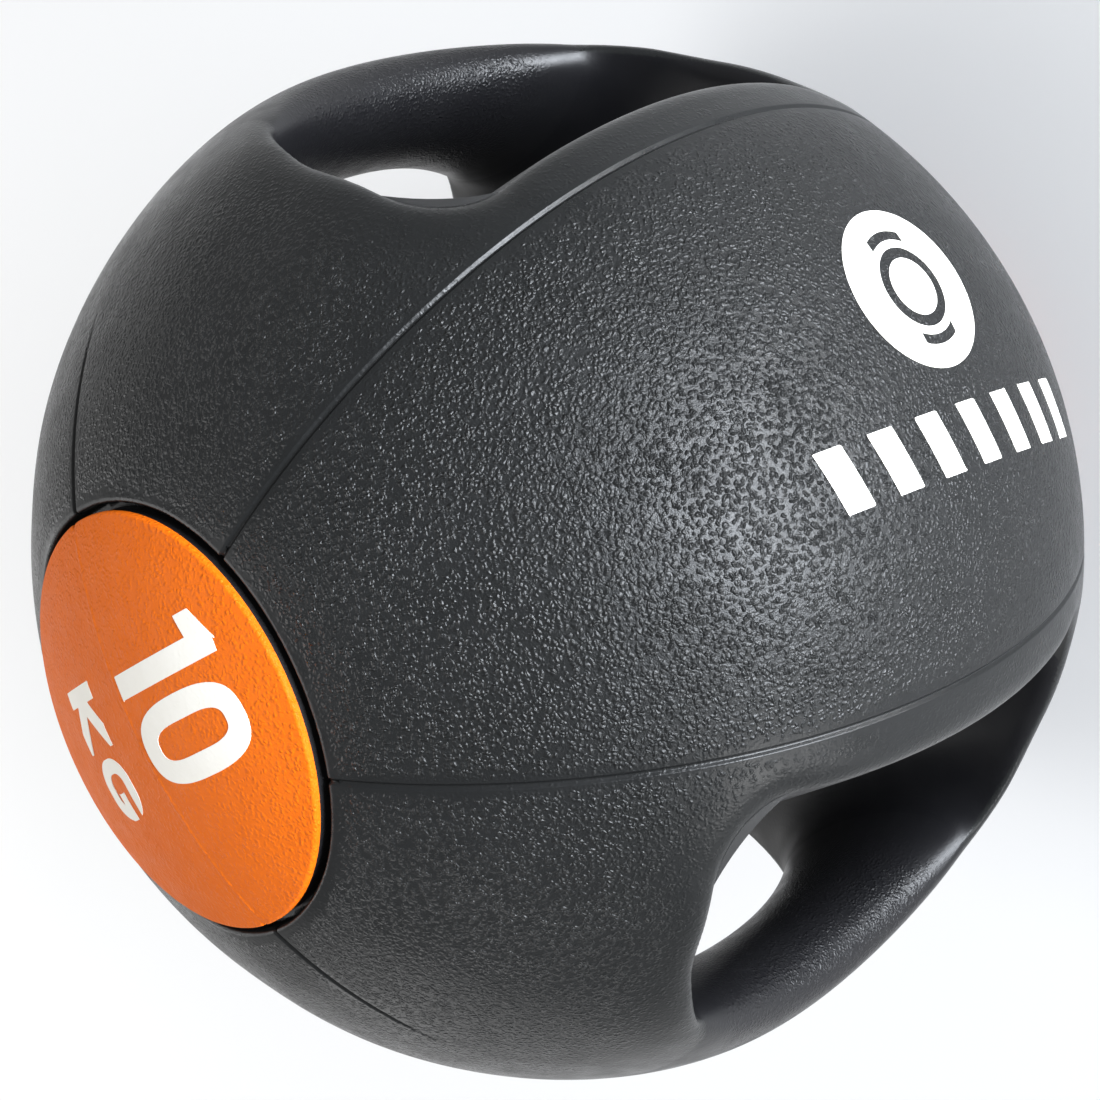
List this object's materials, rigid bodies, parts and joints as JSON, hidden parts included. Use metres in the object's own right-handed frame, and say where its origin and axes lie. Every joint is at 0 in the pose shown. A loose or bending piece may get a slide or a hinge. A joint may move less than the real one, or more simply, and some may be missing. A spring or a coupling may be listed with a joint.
{
  "type": "dual-grip medicine ball",
  "caption": "Heavy rubber exercise ball with a moulded hand grip on each side, a pebbled panelled cover and a coloured end disc at each pole.",
  "frame": {"origin": "centre of the ball", "axes": "+Z through the middle of the marked end disc, +X through the right grip, -Y through the panel that carries the emblem"},
  "size_m": [0.283, 0.2801, 0.279],
  "materials": {
    "pebbled_cover": "satin black rubber with a fine pebbled grain",
    "grip_rubber": "satin black rubber with a softer, finer grain",
    "liner_rubber": "smooth satin black rubber",
    "end_disc": "matt orange rubber with a fine grain",
    "mark_ink": "matt off-white ink",
    "carcass_rubber": "plain moulded rubber",
    "winding_cord": "wound nylon thread in rubber cement",
    "bladder_rubber": "smooth butyl rubber",
    "valve_rubber": "smooth rubber"
  },
  "bodies": {
    "root": {"front_panel": "pebbled_cover", "rear_panel": "pebbled_cover", "right_front_panel": "pebbled_cover", "right_rear_panel": "pebbled_cover", "left_front_panel": "pebbled_cover", "left_rear_panel": "pebbled_cover", "right_grip": "grip_rubber", "left_grip": "grip_rubber", "right_pocket_liner": "liner_rubber", "left_pocket_liner": "liner_rubber", "top_disc": "end_disc", "bottom_disc": "end_disc", "top_mass_mark": "mark_ink", "bottom_mass_mark": "mark_ink", "front_emblem": "mark_ink", "front_stripes": "mark_ink", "front_carcass_half": "carcass_rubber", "rear_carcass_half": "carcass_rubber", "core_winding": "winding_cord", "bladder": "bladder_rubber", "valve_body": "valve_rubber", "valve_plug": "valve_rubber"}
  },
  "joints": []
}
